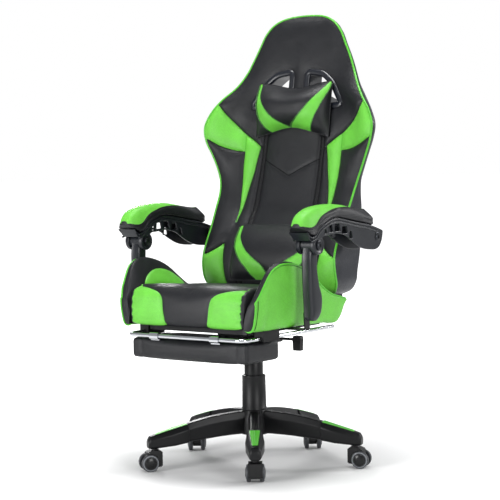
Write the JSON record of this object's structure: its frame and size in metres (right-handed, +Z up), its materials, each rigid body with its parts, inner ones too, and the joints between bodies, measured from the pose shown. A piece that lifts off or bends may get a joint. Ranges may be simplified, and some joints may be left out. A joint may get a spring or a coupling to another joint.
{
  "type": "gaming chair",
  "caption": "Reclining bucket gaming chair on a castor star base, with height lift, tilt, linked armrests, pull-out flip-up footrest, and head and lumbar pillows.",
  "frame": {"origin": "on the floor, on the axis of the lift column, at the middle of the chair's footprint", "axes": "+Z up, +X towards the sitter's left, -Y the way the sitter faces"},
  "size_m": [0.673, 0.666, 1.307],
  "materials": {
    "black_leather": "black coated-fabric leather over foam, fine grain, soft sheen",
    "green_leather": "bright green coated-fabric leather over foam, fine grain",
    "mixed_leather": "black and bright green coated-fabric leather panels over foam",
    "shell_board": "moulded board covered in black coated fabric",
    "pan_board": "black-painted plywood",
    "base_plastic": "satin black glass-filled nylon",
    "arm_plastic": "satin dark grey plastic",
    "inlay_green": "bright green plastic insert",
    "knob_plastic": "satin black plastic",
    "castor_wheel": "black nylon wheels with grey tread",
    "black_steel": "black powder-coated steel",
    "chrome": "bright chrome plating",
    "cylinder": "black painted steel tube"
  },
  "bodies": {
    "base": {"star_base": "base_plastic", "leg_inlay_1": "inlay_green", "leg_inlay_2": "inlay_green", "leg_inlay_3": "inlay_green", "leg_inlay_4": "inlay_green", "leg_inlay_5": "inlay_green", "gas_cylinder": "cylinder", "column_cover_lower": "base_plastic"},
    "castor_1": {"castor_hood_1": "base_plastic"},
    "wheels_1": {"castor_wheels_1": "castor_wheel"},
    "castor_2": {"castor_hood_2": "base_plastic"},
    "wheels_2": {"castor_wheels_2": "castor_wheel"},
    "castor_3": {"castor_hood_3": "base_plastic"},
    "wheels_3": {"castor_wheels_3": "castor_wheel"},
    "castor_4": {"castor_hood_4": "base_plastic"},
    "wheels_4": {"castor_wheels_4": "castor_wheel"},
    "castor_5": {"castor_hood_5": "base_plastic"},
    "wheels_5": {"castor_wheels_5": "castor_wheel"},
    "lift": {"gas_piston": "chrome", "column_cover_upper": "base_plastic"},
    "mechanism": {"mechanism_housing": "black_steel"},
    "knob": {"tension_knob": "knob_plastic"},
    "rocker": {"lever_rocker": "black_steel"},
    "height_lever": {"lift_lever": "knob_plastic"},
    "seat": {"seat_plate": "black_steel", "seat_pan": "pan_board", "seat_cushion": "mixed_leather", "seat_bolster_left": "green_leather", "seat_bolster_right": "green_leather", "recline_bracket_left": "black_steel", "recline_bracket_right": "black_steel", "post_bracket_left": "black_steel", "post_bracket_right": "black_steel", "footrest_guide_left": "base_plastic", "footrest_guide_right": "base_plastic"},
    "recliner_handle": {"recline_lever": "knob_plastic"},
    "back": {"back_cushion": "mixed_leather", "back_shell": "shell_board", "head_pillow": "mixed_leather", "lumbar_pillow": "mixed_leather", "vent_bezel_left": "arm_plastic", "vent_bezel_right": "arm_plastic", "back_hinge_left": "black_steel", "back_hinge_right": "black_steel", "arm_anchor_left": "black_steel", "arm_anchor_right": "black_steel"},
    "post_left": {"arm_post_left": "arm_plastic"},
    "arm_left": {"arm_beam_left": "arm_plastic", "arm_pad_left": "mixed_leather", "arm_pivot_pin_left": "black_steel", "arm_screw_left": "black_steel"},
    "post_right": {"arm_post_right": "arm_plastic"},
    "arm_right": {"arm_beam_right": "arm_plastic", "arm_pad_right": "mixed_leather", "arm_pivot_pin_right": "black_steel", "arm_screw_right": "black_steel"},
    "footrest": {"footrest_frame": "chrome"},
    "footpad": {"footrest_pad": "black_leather", "footrest_hinge_left": "black_steel", "footrest_hinge_right": "black_steel"}
  },
  "joints": [
    {"name": "castor_swivel_1", "type": "hinge", "parent": "base", "child": "castor_1", "pos_m": [0.17634, -0.24271, 0.05], "axis": [0, 0, 1], "continuous": true},
    {"name": "castor_roll_1", "type": "hinge", "parent": "castor_1", "child": "wheels_1", "pos_m": [0.16517, -0.22733, 0.025], "axis": [-0.809, -0.5878, 0], "continuous": true},
    {"name": "castor_swivel_2", "type": "hinge", "parent": "base", "child": "castor_2", "pos_m": [0.28532, 0.0927, 0.05], "axis": [0, 0, 1], "continuous": true},
    {"name": "castor_roll_2", "type": "hinge", "parent": "castor_2", "child": "wheels_2", "pos_m": [0.30339, 0.09858, 0.025], "axis": [-0.309, 0.9511, 0], "continuous": true},
    {"name": "castor_swivel_3", "type": "hinge", "parent": "base", "child": "castor_3", "pos_m": [0, 0.3, 0.05], "axis": [0, 0, 1], "continuous": true},
    {"name": "castor_roll_3", "type": "hinge", "parent": "castor_3", "child": "wheels_3", "pos_m": [0.01117, 0.28463, 0.025], "axis": [0.809, 0.5878, 0], "continuous": true},
    {"name": "castor_swivel_4", "type": "hinge", "parent": "base", "child": "castor_4", "pos_m": [-0.28532, 0.0927, 0.05], "axis": [0, 0, 1], "continuous": true},
    {"name": "castor_roll_4", "type": "hinge", "parent": "castor_4", "child": "wheels_4", "pos_m": [-0.27415, 0.07733, 0.025], "axis": [0.809, 0.5878, 0], "continuous": true},
    {"name": "castor_swivel_5", "type": "hinge", "parent": "base", "child": "castor_5", "pos_m": [-0.17634, -0.24271, 0.05], "axis": [0, 0, 1], "continuous": true},
    {"name": "castor_roll_5", "type": "hinge", "parent": "castor_5", "child": "wheels_5", "pos_m": [-0.1875, -0.25808, 0.025], "axis": [0.809, -0.5878, 0], "continuous": true},
    {"name": "height", "type": "slide", "parent": "base", "child": "lift", "axis": [0, 0, 1], "range_m": [-0.09, 0]},
    {"name": "seat_swivel", "type": "hinge", "parent": "lift", "child": "mechanism", "pos_m": [0, 0, 0.36], "axis": [0, 0, 1], "continuous": true},
    {"name": "tension_turn", "type": "hinge", "parent": "mechanism", "child": "knob", "pos_m": [0, -0.072, 0.341], "axis": [0, 0, 1], "range_deg": [-360, 360]},
    {"name": "lever_lift", "type": "hinge", "parent": "mechanism", "child": "rocker", "pos_m": [0.066, -0.02, 0.372], "axis": [0, -1, 0], "range_deg": [0, 6], "stiffness_Nm_per_rad": 4, "springref_deg": -5.73},
    {"name": "lever_pull", "type": "slide", "parent": "rocker", "child": "height_lever", "axis": [1, 0, 0], "range_m": [0, 0.01]},
    {"name": "seat_tilt", "type": "hinge", "parent": "mechanism", "child": "seat", "pos_m": [0, -0.06, 0.384], "axis": [-1, 0, 0], "range_deg": [0, 12], "stiffness_Nm_per_rad": 120, "springref_deg": -22.92},
    {"name": "back_recline", "type": "hinge", "parent": "seat", "child": "back", "pos_m": [0, 0.161, 0.466], "axis": [-1, 0, 0], "range_deg": [0, 45]},
    {"name": "recline_release", "type": "hinge", "parent": "seat", "child": "recliner_handle", "pos_m": [-0.23, 0.124, 0.452], "axis": [-1, 0, 0], "range_deg": [0, 20], "stiffness_Nm_per_rad": 2, "springref_deg": -11.46},
    {"name": "post_left_swing", "type": "hinge", "parent": "seat", "child": "post_left", "pos_m": [0.3015, -0.137, 0.458], "axis": [-1, 0, 0], "range_deg": [0, 45]},
    {"name": "arm_left_level", "type": "hinge", "parent": "back", "child": "arm_left", "pos_m": [0.3015, 0.152, 0.658], "axis": [-1, 0, 0], "range_deg": [-45, 0]},
    {"name": "post_right_swing", "type": "hinge", "parent": "seat", "child": "post_right", "pos_m": [-0.3015, -0.137, 0.458], "axis": [-1, 0, 0], "range_deg": [0, 45]},
    {"name": "arm_right_level", "type": "hinge", "parent": "back", "child": "arm_right", "pos_m": [-0.3015, 0.152, 0.658], "axis": [-1, 0, 0], "range_deg": [-45, 0]},
    {"name": "footrest_slide", "type": "slide", "parent": "seat", "child": "footrest", "axis": [0, -1, 0], "range_m": [0, 0.25]},
    {"name": "footrest_flip", "type": "hinge", "parent": "footrest", "child": "footpad", "pos_m": [0, -0.32, 0.399], "axis": [-1, 0, 0], "range_deg": [0, 180]}
  ],
  "couplings": [
    {"joint": "post_left_swing", "follows": "back_recline", "ratio": 1},
    {"joint": "arm_left_level", "follows": "back_recline", "ratio": -1},
    {"joint": "post_right_swing", "follows": "back_recline", "ratio": 1},
    {"joint": "arm_right_level", "follows": "back_recline", "ratio": -1}
  ]
}
